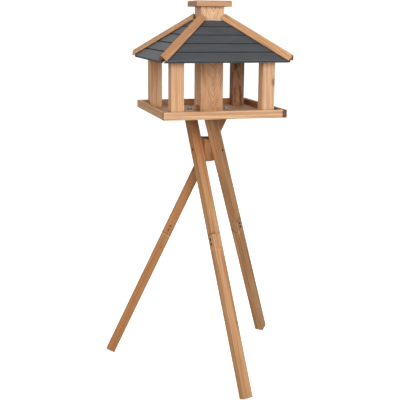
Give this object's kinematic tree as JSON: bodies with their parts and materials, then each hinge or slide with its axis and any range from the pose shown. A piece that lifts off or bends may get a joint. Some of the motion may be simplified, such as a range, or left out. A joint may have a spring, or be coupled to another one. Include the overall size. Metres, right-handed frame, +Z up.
{
  "type": "wooden bird feeder table",
  "caption": "Wooden bird table: railed square tray under a hipped board roof, with a central seed silo under a lift-off lid, on a leaning tripod around a hub block.",
  "frame": {"origin": "on the ground, in the middle of the footprint of the whole object", "axes": "+Z up; +X to the right and -Y to the front when standing before the tray; the upright line through silo and tripod is at x 16.6 mm, y 75.4 mm"},
  "size_m": [0.6892, 0.633, 1.3312],
  "materials": {
    "oiled_pine": "oiled, honey brown",
    "leg_pine": "oiled, darker brown",
    "anthracite_paint": "matt anthracite glaze on tongued boards",
    "zinc_steel": "zinc plated, dull"
  },
  "bodies": {
    "feeder": {"hip_cap_back_left": "oiled_pine", "hip_cap_back_right": "oiled_pine", "hip_cap_front_left": "oiled_pine", "hip_cap_front_right": "oiled_pine", "hub_block": "leg_pine", "hub_bolt_front": "zinc_steel", "hub_bolt_left": "zinc_steel", "hub_bolt_right": "zinc_steel", "lap_bolt_front_lower": "zinc_steel", "lap_bolt_front_upper": "zinc_steel", "lap_bolt_left_lower": "zinc_steel", "lap_bolt_left_upper": "zinc_steel", "lap_bolt_right_lower": "zinc_steel", "lap_bolt_right_upper": "zinc_steel", "leg_front_lower": "leg_pine", "leg_front_upper": "leg_pine", "leg_left_lower": "leg_pine", "leg_left_upper": "leg_pine", "leg_right_lower": "leg_pine", "leg_right_upper": "leg_pine", "post_back_left": "oiled_pine", "post_back_right": "oiled_pine", "post_front_left": "oiled_pine", "post_front_right": "oiled_pine", "post_plate_back": "oiled_pine", "post_plate_front": "oiled_pine", "roof_back_board_1": "anthracite_paint", "roof_back_board_2": "anthracite_paint", "roof_back_board_3": "anthracite_paint", "roof_back_board_4": "anthracite_paint", "roof_back_board_5": "anthracite_paint", "roof_front_board_1": "anthracite_paint", "roof_front_board_2": "anthracite_paint", "roof_front_board_3": "anthracite_paint", "roof_front_board_4": "anthracite_paint", "roof_front_board_5": "anthracite_paint", "roof_left_board_1": "anthracite_paint", "roof_left_board_2": "anthracite_paint", "roof_left_board_3": "anthracite_paint", "roof_left_board_4": "anthracite_paint", "roof_left_board_5": "anthracite_paint", "roof_right_board_1": "anthracite_paint", "roof_right_board_2": "anthracite_paint", "roof_right_board_3": "anthracite_paint", "roof_right_board_4": "anthracite_paint", "roof_right_board_5": "anthracite_paint", "silo_back_board": "oiled_pine", "silo_front_board": "oiled_pine", "silo_left_board": "oiled_pine", "silo_right_board": "oiled_pine", "tray_bolt_front": "zinc_steel", "tray_bolt_left": "zinc_steel", "tray_bolt_right": "zinc_steel", "tray_floor": "oiled_pine", "tray_rail_back": "oiled_pine", "tray_rail_front": "oiled_pine", "tray_rail_left": "oiled_pine", "tray_rail_right": "oiled_pine"},
    "lid": {"lid_board": "oiled_pine", "lid_plug": "oiled_pine"}
  },
  "joints": [
    {"name": "lid_lift", "type": "slide", "parent": "feeder", "child": "lid", "axis": [0, 0, 1], "range_m": [0, 0.06]}
  ]
}
